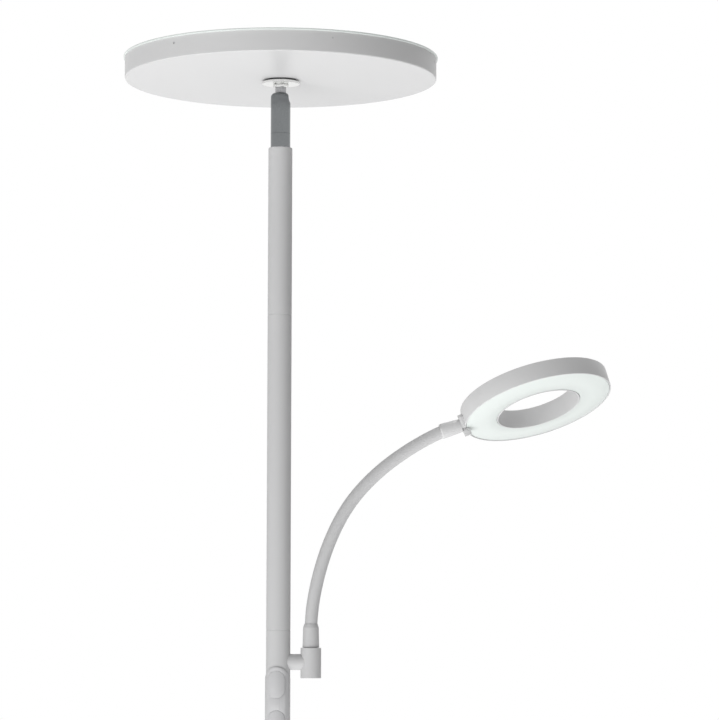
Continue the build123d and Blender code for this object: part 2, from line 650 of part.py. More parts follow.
def arm_socket():
    body = rod(SOCKET_DIA / 2, SOCKET_Z, SOCKET_TOP_Z)
    body = chamfer(body.edges().filter_by(GeomType.CIRCLE), SOCKET_EDGE_CHAMFER)
    body -= rod(STEM_DIA / 2 + STEM_FIT, SOCKET_Z - 1, SOCKET_TOP_Z + 1)
    body -= rod(SOCKET_WELL_DIA / 2, SOCKET_Z - 1, SOCKET_Z + SOCKET_WELL_DEPTH)
    body = Pos(SOCKET_X, 0, 0) * body
    return body - Pos(0, 0, ARM_Z) * along_x(rod(ARM_STUB_BORE_DIA / 2, 0, SOCKET_X))


def neck_ferrule():
    """A flared ferrule over the neck's foot, whose stem turns in the socket."""
    stem_low = SOCKET_Z + SOCKET_WELL_DEPTH
    throat = NECK_RADIUS + NECK_FIT
    edge = FERRULE_TOP_Z + FERRULE_CHAMFER_HEIGHT
    body = turned([(0, stem_low), (STEM_DIA / 2, stem_low), (STEM_DIA / 2, FERRULE_Z),
                   (FERRULE_BOTTOM_DIA / 2, FERRULE_Z), (FERRULE_TOP_DIA / 2, FERRULE_TOP_Z),
                   (throat + FERRULE_LIP, edge), (0, edge)])
    body -= rod(throat, NECK_START_Z, edge + 1)
    body -= rod(THREAD_BORE_DIA / 2, stem_low - 1, edge)
    return Pos(SOCKET_X, 0, 0) * body


def swivel_washer():
    top = SOCKET_Z + SOCKET_WELL_DEPTH
    washer = tube(SWIVEL_WASHER_DIA / 2, SWIVEL_SCREW_DIA / 2 + THREAD_FIT, top - SWIVEL_WASHER_THICK, top)
    return Pos(SOCKET_X, 0, -ARM_CONTACT_GAP) * washer


def swivel_screw():
    under = SOCKET_Z + SOCKET_WELL_DEPTH - SWIVEL_WASHER_THICK - ARM_CONTACT_GAP
    body = rod(SWIVEL_SCREW_DIA / 2 - THREAD_FIT, under, under + SWIVEL_SCREW_LENGTH)
    body += rod(SWIVEL_SCREW_HEAD_DIA / 2, under - SWIVEL_SCREW_HEAD_THICK, under)
    body -= rod(SWIVEL_SCREW_BORE_DIA / 2, 0, TOTAL_HEIGHT)
    return Pos(SOCKET_X, 0, 0) * body


# ---- gooseneck

def neck_stations():
    """The point and the slope, in degrees above +X, where each link begins, and where the last one ends."""
    x, z, slope = SOCKET_X, NECK_START_Z, 90.0
    stations = [(x, z, slope)]
    for turn in NECK_LINK_TURNS:
        radius = NECK_LINK_LENGTH / radians(turn)
        centre_x = x + radius * sin(radians(slope))
        centre_z = z - radius * cos(radians(slope))
        slope -= turn
        x = centre_x - radius * sin(radians(slope))
        z = centre_z + radius * cos(radians(slope))
        stations.append((x, z, slope))
    return stations


def neck_direction(slope):
    return Vector(cos(radians(slope)), 0, sin(radians(slope)))


def link_place(index):
    """From upright at the origin to where a link begins."""
    x, z, slope = neck_stations()[index]
    return Pos(x, 0, z) * Rot(0, 90 - slope, 0)


def link_arc(turn, section):
    """A bar of the given section that rises from the origin and bends over towards +X, one link long."""
    bend = NECK_LINK_LENGTH / radians(turn)
    return revolve(section, Axis((bend, 0, 0), (0, 1, 0)), turn)


def link_end(turn):
    """The middle and the turn of such a bar's upper end."""
    bend = NECK_LINK_LENGTH / radians(turn)
    return Pos(bend * (1 - cos(radians(turn))), 0, bend * sin(radians(turn))) * Rot(0, turn, 0)


def gooseneck_link(index):
    """One link: a cup on its lower end, a ball on its upper end and a wire bore through both."""
    turn = NECK_LINK_TURNS[index]
    body = link_arc(turn, Circle(NECK_RADIUS) - Circle(NECK_BORE_DIA / 2))
    if index < len(NECK_LINK_TURNS) - 1:
        half_ball = Sphere(NECK_RADIUS) & rod(NECK_DIA, 0, NECK_DIA)
        body += link_end(turn) * (half_ball - rod(NECK_BORE_DIA / 2, -NECK_DIA, NECK_DIA))
    if index > 0:
        body -= Sphere(NECK_RADIUS + NECK_BALL_GAP)
    return link_place(index) * body


# ---- ring light

def neck_end():
    x, z, slope = neck_stations()[-1]
    return Vector(x, 0, z), neck_direction(slope)


def neck_end_plane():
    """At the neck's end, with z along the neck and x to the front."""
    point, direction = neck_end()
    return Plane(point, x_dir=(0, -1, 0), z_dir=direction)


def ring_plane():
    """At the middle of the ring's underside, with x away from the neck and z up through the ring."""
    point, direction = neck_end()
    outwards = Vector(cos(radians(RING_TILT)), 0, sin(radians(RING_TILT)))
    level = Vector(-outwards.Z, 0, outwards.X)
    up = level * cos(radians(RING_ROLL)) + Vector(0, 1, 0) * sin(radians(RING_ROLL))
    wall = point + direction * SADDLE_REACH
    centre = wall + outwards * (RING_DIA / 2) - up * RING_SEAT_HEIGHT
    return Plane(centre, x_dir=outwards, z_dir=up)


def ring_ferrule():
    far = RING_FERRULE_PAST_NECK
    near = far - RING_FERRULE_LENGTH
    tip = RING_FERRULE_NECK_DIA / 2
    body = turned([(0, near), (tip - RING_FERRULE_CHAMFER / 2, near), (tip, near + RING_FERRULE_CHAMFER),
                   (RING_FERRULE_SEAT_DIA / 2, far), (0, far)])
    place = neck_end_plane()
    body = place * body
    last = len(NECK_LINK_TURNS) - 1
    body -= link_place(last) * link_arc(NECK_LINK_TURNS[last], Circle(NECK_RADIUS + NECK_FIT))
    return body - place * rod(NECK_BORE_DIA / 2, -1, far + 1)


def saddle_block():
    """The saddle's blank: round-cornered, a little below the ferrule, from its end to past the ring's wall."""
    outline = RectangleRounded(SADDLE_WIDTH, SADDLE_LENGTH, SADDLE_CORNER_RADIUS)
    return Pos(0, SADDLE_DROP, RING_FERRULE_PAST_NECK) * extrude(outline, 2 * SADDLE_THICK)


def ring_saddle():
    body = neck_end_plane() * saddle_block()
    wall = rod(RING_DIA / 2 + SADDLE_GAP, -RING_DIA, RING_DIA)
    body -= ring_plane() * wall
    body -= neck_end_plane() * rod(NECK_BORE_DIA / 2, 0, 3 * SADDLE_THICK + RING_FERRULE_PAST_NECK)
    for place in saddle_screw_places():
        body -= place * along_x(rod(SADDLE_SCREW_DIA / 2 + THREAD_FIT, 0, SADDLE_SCREW_LENGTH + RING_WALL))
    return body


def saddle_screw_places():
    """Inside the ring's outer wall, where a screw head first meets it, with +X running out through the wall."""
    inside = ((RING_DIA / 2 - RING_WALL) ** 2 - (SADDLE_SCREW_HEAD_DIA / 2) ** 2) ** 0.5
    swing = degrees(SADDLE_SCREW_SPACING / RING_DIA)
    level = ring_plane().location * Pos(0, 0, RING_HEIGHT / 2)
    return [level * Rot(0, 0, 180 + turn) * Pos(inside, 0, 0) for turn in (swing, -swing)]


def saddle_screws():
    screws = []
    for place in saddle_screw_places():
        shank = rod(SADDLE_SCREW_DIA / 2, 0, RING_WALL + SADDLE_SCREW_LENGTH / 2)
        head = rod(SADDLE_SCREW_HEAD_DIA / 2, -SADDLE_SCREW_HEAD_THICK, 0)
        screws.append(place * along_x(shank + head))
    return group(screws)


def ring_housing():
    """A channel bent into a ring, open underneath, whose inner wall comes down lower than the outer one."""
    outer, inner, edge = RING_DIA / 2, RING_HOLE_DIA / 2, RING_EDGE_CHAMFER
    low, roof = -RING_INNER_DROP, RING_HEIGHT - RING_TOP_PLATE
    body = turned([
        (outer - RING_WALL, 0), (outer - edge, 0), (outer, edge),
        (outer, RING_HEIGHT - edge), (outer - edge, RING_HEIGHT),
        (inner + edge, RING_HEIGHT), (inner, RING_HEIGHT - edge),
        (inner, low + edge), (inner + edge, low), (inner + RING_WALL, low),
        (inner + RING_WALL, roof), (outer - RING_WALL, roof)])
    body = ring_plane() * body
    for place in saddle_screw_places():
        body -= place * along_x(rod(SADDLE_SCREW_DIA / 2 + THREAD_FIT, -RING_WALL, 2 * RING_WALL))
    return body - wire_hole()


def wire_hole():
    point, direction = neck_end()
    return Plane(point, z_dir=direction) * rod(NECK_BORE_DIA / 2, 0, SADDLE_REACH + 3 * RING_WALL)


def ring_diffuser():
    """A slightly coned ring between the two walls."""
    outer = RING_DIA / 2 - RING_WALL - RING_DIFFUSER_FIT
    inner = RING_HOLE_DIA / 2 + RING_WALL + RING_DIFFUSER_FIT
    low, inner_low = RING_DIFFUSER_RECESS, RING_DIFFUSER_RECESS - RING_INNER_DROP
    thick = RING_DIFFUSER_THICK
    body = turned([(outer, low), (outer, low + thick), (inner, inner_low + thick), (inner, inner_low)])
    return ring_plane() * body


def ring_led_board():
    outer = RING_DIA / 2 - RING_WALL - RING_BOARD_MARGIN
    inner = RING_HOLE_DIA / 2 + RING_WALL + RING_BOARD_MARGIN
    top = RING_HEIGHT - RING_TOP_PLATE
    low = top - RING_BOARD_THICK
    board = tube(outer, inner, low, top)
    chip = Pos((outer + inner) / 2, 0, low - CHIP_THICK) * Box(
        RING_CHIP_SIZE, RING_CHIP_SIZE, CHIP_THICK, align=BOTTOM)
    place = ring_plane()
    return group([place * shape for shape in [board] + ring_of(chip, RING_CHIP_COUNT)])


def all_parts():
    seams = seam_heights()
    spans = list(zip(seams[:-1], seams[1:]))
    parts = {
        "base_pad": base_pad(),
        "base_weight": base_weight(),
        "base_cover": base_cover(),
        "base_collar": base_collar(),
        "base_washer": base_washer(),
        "base_nut": base_nut(),
        "base_stud": base_stud(),
        "cord_grommet": cord_grommet(),
        "pole_foot_plug": pole_foot_plug(),
        "control_tube": control_tube(*spans[-3]),
        "middle_tube": pole_tube(*spans[-2]),
        "upper_tube": pole_tube(*spans[-1]),
        "tube_couplers": tube_couplers(),
        "pole_top_plug": pole_top_plug(),
        "joint_collar": joint_collar(),
        "joint_housing": joint_housing(),
        "housing_set_screw": housing_set_screw(),
        "ball_seat": ball_seat(),
        "disc_springs": disc_springs(),
        "head_stud": head_stud(),
        "lock_nut": lock_nut(),
        "head_flange": head_flange(),
        "head_washer": head_washer(),
        "head_top_nut": head_top_nut(),
        "head_pan": head_pan(),
        "head_diffuser": head_diffuser(),
        "diffuser_clip_screws": diffuser_clip_screws(),
        "heat_spreader": heat_spreader(),
        "head_led_board": head_led_board(),
        "head_board_screws": head_board_screws(),
        "control_bezel": control_bezel(),
        "button_up": button(BUTTON_UP_Z),
        "button_down": button(BUTTON_DOWN_Z),
        "control_board": control_board(),
        "tact_switches": tact_switches(),
        "board_carrier": board_carrier(),
        "arm_stub": arm_stub(),
        "arm_washer": arm_washer(),
        "arm_nut": arm_nut(),
        "arm_socket": arm_socket(),
        "neck_ferrule": neck_ferrule(),
        "swivel_washer": swivel_washer(),
        "swivel_screw": swivel_screw(),
        "ring_ferrule": ring_ferrule(),
        "ring_saddle": ring_saddle(),
        "saddle_screws": saddle_screws(),
        "ring_housing": ring_housing(),
        "ring_diffuser": ring_diffuser(),
        "ring_led_board": ring_led_board(),
    }
    for i in range(LOWER_TUBE_COUNT):
        parts[f"lower_tube_{i + 1}"] = pole_tube(*spans[i])
    for i in range(len(NECK_LINK_TURNS)):
        parts[f"gooseneck_link_{i + 1}"] = gooseneck_link(i)
    return parts


os.makedirs("parts", exist_ok=True)
for name, shape in all_parts().items():
    export_step(shape, f"parts/{name}.step")
for point_x, point_z, point_slope in neck_stations():
    print(f"neck station x {point_x:.3f} z {point_z:.3f} slope {point_slope:.2f}")
print("ring centre", ring_plane().origin, "up", ring_plane().z_dir)
print("ball z", round(BALL_Z, 3), "pan z", round(PAN_Z, 3), "top z", round(PAN_TOP_Z + DIFFUSER_THICK, 3))
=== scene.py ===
import json
from math import cos, pi, radians, sin, sqrt

import bpy
from mathutils import Matrix, Vector


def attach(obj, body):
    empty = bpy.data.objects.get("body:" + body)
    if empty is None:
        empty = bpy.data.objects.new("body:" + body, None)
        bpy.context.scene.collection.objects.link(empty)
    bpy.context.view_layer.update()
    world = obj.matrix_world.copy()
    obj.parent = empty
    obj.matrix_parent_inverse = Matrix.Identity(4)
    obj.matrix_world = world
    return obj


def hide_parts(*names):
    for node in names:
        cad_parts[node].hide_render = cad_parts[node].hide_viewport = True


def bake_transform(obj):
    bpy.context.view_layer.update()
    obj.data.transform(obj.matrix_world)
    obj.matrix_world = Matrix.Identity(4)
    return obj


bl_info = {
    "name": "Floor lamp with reading light",
    "version": (1, 0, 0),
    "blender": (4, 5, 0),
    "location": "View3D > Sidebar > Floor lamp",
    "description": "Shapes and finishes of a floor lamp with an uplight and a ring light on a gooseneck",
    "category": "Object",
}

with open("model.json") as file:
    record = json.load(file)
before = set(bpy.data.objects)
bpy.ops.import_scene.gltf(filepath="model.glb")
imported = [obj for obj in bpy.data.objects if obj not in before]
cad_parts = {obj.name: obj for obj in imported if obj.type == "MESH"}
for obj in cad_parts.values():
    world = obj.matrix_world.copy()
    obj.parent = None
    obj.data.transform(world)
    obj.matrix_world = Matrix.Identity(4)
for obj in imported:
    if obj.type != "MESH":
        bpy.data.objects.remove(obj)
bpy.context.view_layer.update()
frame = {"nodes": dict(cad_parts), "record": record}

MM = 0.001

# where the gooseneck starts, how long each link is and how far each turns down, in degrees
NECK_START = (29.6 * MM, 1272.0 * MM)
LINK_LENGTH = 35.0 * MM
LINK_TURNS = (10.5, 7.6, 9.4, 14.0, 10.8, 7.9, 9.0)

# the middle of the ring's underside, how the ring leans, and its shift away from the neck
RING_CENTRE = (236.975 * MM, -1.512 * MM, 1476.88 * MM)
RING_TILT = radians(15.6)
RING_ROLL = radians(16.9)
RING_SHIFT = -0.7 * MM

# the pole's top tube
TOP_TUBE = (1561.5 * MM, 1716.4 * MM)
POLE_BORE = 19.6 * MM

# the lock nut under the uplight, and the uplight's diffuser
NUT_SPAN = (1772.4 * MM, 1775.7 * MM)
THREAD_HOLE = 10.1 * MM
LENS_Z = 1798.1 * MM
LENS_THICK = 1.9 * MM
LENS_RADIUS = 144.8 * MM

# the control panel on the pole's front, and its buttons, each a step above or below the panel's middle
PANEL_TURN = radians(-7)
PANEL_Z = 1207.05 * MM
PANEL_SIZE = (22.6 * MM, 67.5 * MM)
PANEL_RADIUS = 12.0 * MM
BUTTON_SIZE = (15.4 * MM, 24.7 * MM)
BUTTON_RADIUS = 12.9 * MM
BUTTON_STEP = 17.75 * MM

# edges under this angle look smooth, points under this gap are one, and cutting tools have this many sides
SMOOTH_ANGLE = radians(35)
WELD_GAP = MM / 100
TOOL_STEPS = 96

# steps of a rounded corner, and what is left between a full rounding and half the width
CORNER_STEPS = 12
SLIVER = MM / 1000


class LampSizes(bpy.types.PropertyGroup):
    """Sizes of the visible pieces that are modelled here."""

    neck_diameter: bpy.props.FloatProperty(
        name="Neck diameter", description="Outside diameter of the gooseneck's sleeve",
        default=11.5 * MM, min=8 * MM, max=14 * MM, unit="LENGTH")
    neck_blend: bpy.props.FloatProperty(
        name="Neck bend zone", description="Half the length over which the sleeve bends at each hinge",
        default=14 * MM, min=4 * MM, max=17 * MM, unit="LENGTH")
    ring_diameter: bpy.props.FloatProperty(
        name="Ring diameter", description="Outside diameter of the reading light",
        default=138.4 * MM, min=100 * MM, max=180 * MM, unit="LENGTH")
    ring_hole: bpy.props.FloatProperty(
        name="Ring hole", description="Diameter of the reading light's hole",
        default=76 * MM, min=50 * MM, max=100 * MM, unit="LENGTH")
    ring_height: bpy.props.FloatProperty(
        name="Ring height", description="Height of the reading light's housing",
        default=16.6 * MM, min=16.6 * MM, max=18 * MM, unit="LENGTH")
    ring_edge: bpy.props.FloatProperty(
        name="Ring edge radius", description="Rounding of the housing's outer edges",
        default=0.5 * MM, min=0.1 * MM, max=0.6 * MM, unit="LENGTH")
    pole_diameter: bpy.props.FloatProperty(
        name="Pole diameter", description="Outside diameter of the pole's tubes",
        default=22 * MM, min=18 * MM, max=30 * MM, unit="LENGTH")
    pole_shoulder: bpy.props.FloatProperty(
        name="Pole shoulder radius", description="Rounding of the pole's top end",
        default=1.15 * MM, min=0.3 * MM, max=1.15 * MM, unit="LENGTH")
    lip_radius: bpy.props.FloatProperty(
        name="Uplight lip radius", description="Rounding of the uplight diffuser's edge",
        default=0.7 * MM, min=0.1 * MM, max=0.9 * MM, unit="LENGTH")
    button_gap: bpy.props.FloatProperty(
        name="Button gap", description="Gap between a button and its bezel",
        default=0.15 * MM, min=0.05 * MM, max=0.3 * MM, unit="LENGTH")
    nut_flats: bpy.props.FloatProperty(
        name="Lock nut flats", description="Size across the flats of the nut under the uplight",
        default=13.0 * MM, min=11 * MM, max=13.6 * MM, unit="LENGTH")


class LampColours(bpy.types.PropertyGroup):
    """Colours of the finishes, as linear values."""

    silver: bpy.props.FloatVectorProperty(
        name="Silver paint", description="Matt silver-grey of the tubes, the arm and the neck",
        subtype="COLOR", size=3, min=0, max=1, default=(0.52, 0.52, 0.523))
    # a lighter copy of the silver paint for the lamp heads: the extra lightness paints the light from below
    # on their undersides
    silver_painted_lighter: bpy.props.FloatVectorProperty(
        name="Lamp head paint", description="Satin silver-grey of the uplight and the ring",
        subtype="COLOR", size=3, min=0, max=1, default=(0.57, 0.57, 0.572))
    # the joint metal's colour is darkened to stand for the dark reflections it shows: painted reflection
    joint_metal_painted_dark: bpy.props.FloatVectorProperty(
        name="Joint metal", description="Polished metal of the ball joint",
        subtype="COLOR", size=3, min=0, max=1, default=(0.205, 0.215, 0.22))
    # a much lighter copy of the joint metal for the flange and lock nut: painted light reflection
    bright: bpy.props.FloatVectorProperty(
        name="Polished metal, painted light reflection", description="Polished metal of the flange and lock nut",
        subtype="COLOR", size=3, min=0, max=1, default=(0.84, 0.84, 0.83))
    steel: bpy.props.FloatVectorProperty(
        name="Steel", description="Plain steel of the stud, screws, nuts and washers",
        subtype="COLOR", size=3, min=0, max=1, default=(0.45, 0.45, 0.46))
    opal: bpy.props.FloatVectorProperty(
        name="Opal plastic", description="Milky plastic of the diffusers",
        subtype="COLOR", size=3, min=0, max=1, default=(0.66, 0.70, 0.68))
    button: bpy.props.FloatVectorProperty(
        name="Button plastic", description="Silver-grey plastic of the buttons and their bezel",
        subtype="COLOR", size=3, min=0, max=1, default=(0.505, 0.505, 0.512))


# ---- nodes

# the colour of resting dust, and how far up a face has to look to hold it, where 1 is straight up
DUST_COLOUR = (0.55, 0.54, 0.52, 1)
DUST_SLOPE = 0.6

# the grain's depth, and the gloss of a clear coat
GRAIN_DEPTH = 0.1 * MM
COAT_ROUGHNESS = 0.15

# the painted shade about the ring diffuser's hole: how wide it is, and the share of the colour left at its
# inner edge
PAINTED_SHADE_WIDTH = 14 * MM
PAINTED_SHADE_LEVEL = 0.9


def new_node(tree, kind, place, **settings):
    """A node at its place in the editor, with its settings."""
    node = tree.nodes.new(kind)
    node.location = place
    for name, value in settings.items():
        setattr(node, name, value)
    return node


def feed(tree, node, inputs):
    """Feeds a node's inputs: another node's output is linked, and anything else is set as the value."""
    for label, value in inputs.items():
        if isinstance(value, bpy.types.NodeSocket):
            tree.links.new(value, node.inputs[label])
        else:
            node.inputs[label].default_value = value


def noise_in(tree, place, coordinates, scale, detail=2.0, roughness=0.5):
    """Noise as a value from 0 to 1."""
    noise = new_node(tree, "ShaderNodeTexNoise", place)
    feed(tree, noise, {"Vector": coordinates, "Scale": scale, "Detail": detail, "Roughness": roughness})
    return noise.outputs["Fac"]


def math_in(tree, place, operation, first, second):
    """A sum, product or the like of two values."""
    node = new_node(tree, "ShaderNodeMath", place, operation=operation)
    feed(tree, node, {0: first, 1: second})
    return node.outputs[0]


def mix_in(tree, place, blend, factor, first, second):
    """A mix of two colours."""
    node = new_node(tree, "ShaderNodeMix", place, data_type="RGBA", blend_type=blend)
    feed(tree, node, {"Factor": factor, "A": first, "B": second})
    return node.outputs["Result"]


def make_group(name, inputs, outputs):
    """A shader node group with float inputs, each with its default, and with float outputs."""
    group = bpy.data.node_groups.new(name, "ShaderNodeTree")
    for label, default in inputs.items():
        socket = group.interface.new_socket(label, in_out="INPUT", socket_type="NodeSocketFloat")
        socket.default_value = default
    for label in outputs:
        group.interface.new_socket(label, in_out="OUTPUT", socket_type="NodeSocketFloat")
    start = new_node(group, "NodeGroupInput", (-900, 0))
    end = new_node(group, "NodeGroupOutput", (700, 0))
    return group, start.outputs, end


def place_group(tree, group, place, values):
    """Puts a group in a tree and feeds it; gives the group's outputs."""
    node = new_node(tree, "ShaderNodeGroup", place, node_tree=group)
    feed(tree, node, values)
    return node.outputs


def about_zero(tree, height, noise, amount):
    """Noise spread about zero by an amount."""
    centred = math_in(tree, (-450, height), "SUBTRACT", noise, 0.5)
    return math_in(tree, (-300, height), "MULTIPLY", centred, amount)


def grain_group():
    """Fine grain over slow clouding: a factor about 1 for colour and roughness, and a height for bump."""
    name = "Surface grain"
    if name in bpy.data.node_groups:
        return bpy.data.node_groups[name]
    defaults = {"Grain scale": 900.0, "Grain amount": 0.05, "Cloud scale": 9.0, "Cloud amount": 0.03}
    group, start, end = make_group(name, defaults, ("Factor", "Height"))
    where = new_node(group, "ShaderNodeTexCoord", (-900, 300)).outputs["Object"]
    grain = noise_in(group, (-600, 200), where, start["Grain scale"])
    cloud = noise_in(group, (-600, -100), where, start["Cloud scale"], detail=3.0)
    grain_part = about_zero(group, 200, grain, start["Grain amount"])
    cloud_part = about_zero(group, -100, cloud, start["Cloud amount"])
    both = math_in(group, (0, 100), "ADD", grain_part, cloud_part)
    feed(group, end, {"Factor": math_in(group, (200, 100), "ADD", both, 1.0), "Height": grain})
    return group


def dust_group():
    """A mask of faint dust that lies on faces that look up."""
    name = "Resting dust"
    if name in bpy.data.node_groups:
        return bpy.data.node_groups[name]
    group, start, end = make_group(name, {"Amount": 0.1, "Scale": 40.0}, ("Mask",))
    where = new_node(group, "ShaderNodeTexCoord", (-900, 300)).outputs["Object"]
    normal = new_node(group, "ShaderNodeNewGeometry", (-900, -200)).outputs["Normal"]
    split = new_node(group, "ShaderNodeSeparateXYZ", (-700, -200))
    feed(group, split, {0: normal})
    facing_up = new_node(group, "ShaderNodeMapRange", (-500, -200))
    feed(group, facing_up, {"Value": split.outputs["Z"], "From Min": DUST_SLOPE})
    speck = noise_in(group, (-600, 200), where, start["Scale"], detail=6.0, roughness=0.6)
    specks = math_in(group, (0, 0), "MULTIPLY", facing_up.outputs["Result"], speck)
    feed(group, end, {"Mask": math_in(group, (200, 0), "MULTIPLY", specks, start["Amount"])})
    return group


# ---- finishes

def finish_material(name, colour, roughness, grain, cloud, bump,
                    metallic=0.0, dust=0.0, coat=0.0, specular=0.5):
    """A material from one colour, varied by grain and cloud, which are each a scale and an amount."""
    material = bpy.data.materials.get(name)
    if material:
        return material
    material = bpy.data.materials.new(name)
    material.use_nodes = True
    tree = material.node_tree
    grained = place_group(tree, grain_group(), (-900, 200), {
        "Grain scale": grain[0], "Grain amount": grain[1],
        "Cloud scale": cloud[0], "Cloud amount": cloud[1]})
    dusty = place_group(tree, dust_group(), (-900, -100), {"Amount": dust})
    tint = mix_in(tree, (-600, 300), "MULTIPLY", 1.0, (*colour, 1), grained["Factor"])
    rough = math_in(tree, (-600, 0), "MULTIPLY", grained["Factor"], roughness)
    relief = new_node(tree, "ShaderNodeBump", (-350, -250))
    feed(tree, relief, {"Strength": bump, "Distance": GRAIN_DEPTH, "Height": grained["Height"]})
    feed(tree, tree.nodes["Principled BSDF"], {
        "Base Color": mix_in(tree, (-350, 300), "MIX", dusty["Mask"], tint, DUST_COLOUR),
        "Metallic": metallic,
        "Roughness": math_in(tree, (-350, 0), "ADD", rough, dusty["Mask"]),
        "Specular IOR Level": specular,
        "Coat Weight": coat,
        "Coat Roughness": COAT_ROUGHNESS,
        "Normal": relief.outputs["Normal"],
    })
    return material


def colours():
    return bpy.context.scene.lamp_colours


def silver_paint():
    return finish_material(
        "Matt silver paint", colours().silver, roughness=0.55, grain=(2200.0, 0.08), cloud=(14.0, 0.02),
        bump=0.08, dust=0.08, specular=0.25)


# the satin paint's colour is lifted above the pole's silver as painted light from below
def painted_aluminium():
    return finish_material(
        "Satin silver paint, lightened as painted light", colours().silver_painted_lighter, roughness=0.36, grain=(1800.0, 0.06),
        cloud=(11.0, 0.02), bump=0.06, dust=0.08)


# polished metal, darkened as painted dark reflection
def joint_chrome():
    return finish_material(
        "Polished joint metal, painted dark reflection", colours().joint_metal_painted_dark, roughness=0.13, grain=(700.0, 0.25), cloud=(60.0, 0.12),
        bump=0.03, metallic=1.0, dust=0.02)


# the joint metal made much lighter, as painted light reflection on the flange and lock nut
def painted_light_metal():
    return finish_material(
        "Polished metal, painted light reflection", colours().bright, roughness=0.16, grain=(700.0, 0.15), cloud=(60.0, 0.08),
        bump=0.03, metallic=1.0, dust=0.02)


def plain_steel():
    return finish_material(
        "Plain steel", colours().steel, roughness=0.34, grain=(1400.0, 0.3), cloud=(90.0, 0.2),
        bump=0.12, metallic=1.0, dust=0.03)


def bare_aluminium():
    return finish_material(
        "Bare aluminium", (0.62, 0.62, 0.63), roughness=0.42, grain=(900.0, 0.2), cloud=(30.0, 0.1),
        bump=0.1, metallic=1.0, dust=0.05)


def opal_plastic(name="Opal plastic"):
    return finish_material(
        name, colours().opal, roughness=0.33, grain=(1500.0, 0.02), cloud=(20.0, 0.02),
        bump=0.02, dust=0.06, coat=0.2)


def ring_opal_painted_shade():
    """Opal plastic with painted shade, darker in a soft ring about its hole, where the wall stands behind
    it.
    """
    name = "Ring opal plastic, painted shade"
    if name in bpy.data.materials:
        return bpy.data.materials[name]
    material = opal_plastic(name)
    tree = material.node_tree
    shader = tree.nodes["Principled BSDF"]
    plain = shader.inputs["Base Color"].links[0].from_socket
    where = new_node(tree, "ShaderNodeTexCoord", (-900, 700)).outputs["Object"]
    reach = new_node(tree, "ShaderNodeVectorMath", (-700, 700), operation="DISTANCE")
    feed(tree, reach, {0: where, 1: RING_CENTRE})
    near = bpy.context.scene.lamp_sizes.ring_hole / 2
    painted_shade_ramp = new_node(tree, "ShaderNodeMapRange", (-500, 700), interpolation_type="SMOOTHSTEP")
    feed(tree, painted_shade_ramp, {
        "Value": reach.outputs["Value"], "From Min": near, "From Max": near + PAINTED_SHADE_WIDTH,
        "To Min": PAINTED_SHADE_LEVEL, "To Max": 1.0})
    # the colour darkened towards the hole: painted shade
    shade = mix_in(tree, (-150, 500), "MULTIPLY", 1.0, plain, painted_shade_ramp.outputs["Result"])
    feed(tree, shader, {"Base Color": shade})
    return material


def button_plastic():
    return finish_material(
        "Silver plastic", colours().button, roughness=0.44, grain=(2600.0, 0.08), cloud=(40.0, 0.03),
        bump=0.12, dust=0.04)


def dark_plastic():
    return finish_material(
        "Dark plastic", (0.035, 0.035, 0.036), roughness=0.5, grain=(1200.0, 0.3), cloud=(50.0, 0.1),
        bump=0.25, dust=0.05)


def white_board():
    return finish_material(
        "White board", (0.78, 0.79, 0.77), roughness=0.45, grain=(800.0, 0.04), cloud=(60.0, 0.05),
        bump=0.05)


def pad_rubber():
    return finish_material(
        "Pad rubber", (0.025, 0.025, 0.026), roughness=0.75, grain=(600.0, 0.4), cloud=(30.0, 0.2),
        bump=0.5, dust=0.1)


def cast_metal():
    return finish_material(
        "Raw cast iron", (0.1, 0.1, 0.1), roughness=0.65, grain=(350.0, 0.5), cloud=(25.0, 0.3),
        bump=0.8, metallic=0.7, dust=0.1)


# the finish of each material slot
FINISHES = {
    "silver_paint": silver_paint,
    "painted_aluminium": painted_aluminium,
    "joint_chrome": joint_chrome,
    "steel": plain_steel,
    "aluminium": bare_aluminium,
    "opal": opal_plastic,
    "button_plastic": button_plastic,
    "dark_plastic": dark_plastic,
    "board": white_board,
    "pad_rubber": pad_rubber,
    "cast_weight": cast_metal,
}

# pieces whose finish differs from that of their slot; the flange's is a much lighter copy of its slot's
# joint metal, a painted light reflection
NODE_FINISHES = {
    "head_flange": painted_light_metal,
    "head_stud": plain_steel,
    "arm_socket": silver_paint,
    "neck_ferrule": silver_paint,
}


# ---- modelling

def start_clean():
    """Leaves edit mode and deselects every object."""
    if bpy.context.object and bpy.context.object.mode != "OBJECT":
        bpy.ops.object.mode_set(mode="OBJECT")
    bpy.ops.object.select_all(action="DESELECT")


def only(obj):
    """Makes a piece the one selected and active object."""
    start_clean()
    obj.select_set(True)
    bpy.context.view_layer.objects.active = obj


def finish_mesh():
    """Turns all faces outwards and leaves edit mode."""
    bpy.ops.mesh.select_all(action="SELECT")
    bpy.ops.mesh.normals_make_consistent(inside=False)
    bpy.ops.object.mode_set(mode="OBJECT")


def draw_line(name, points):
    """A piece that starts as one vertex and is extruded from point to point; it is left in edit mode."""
    start_clean()
    bpy.ops.mesh.primitive_plane_add(size=MM, location=points[0])
    obj = bpy.context.object
    obj.name = obj.data.name = name
    bpy.ops.object.mode_set(mode="EDIT")
    bpy.ops.mesh.select_all(action="SELECT")
    bpy.ops.mesh.merge(type="CENTER")
    for before, after in zip(points, points[1:]):
        step = Vector(after) - Vector(before)
        bpy.ops.mesh.extrude_region_move(TRANSFORM_OT_translate={"value": step})
    return obj


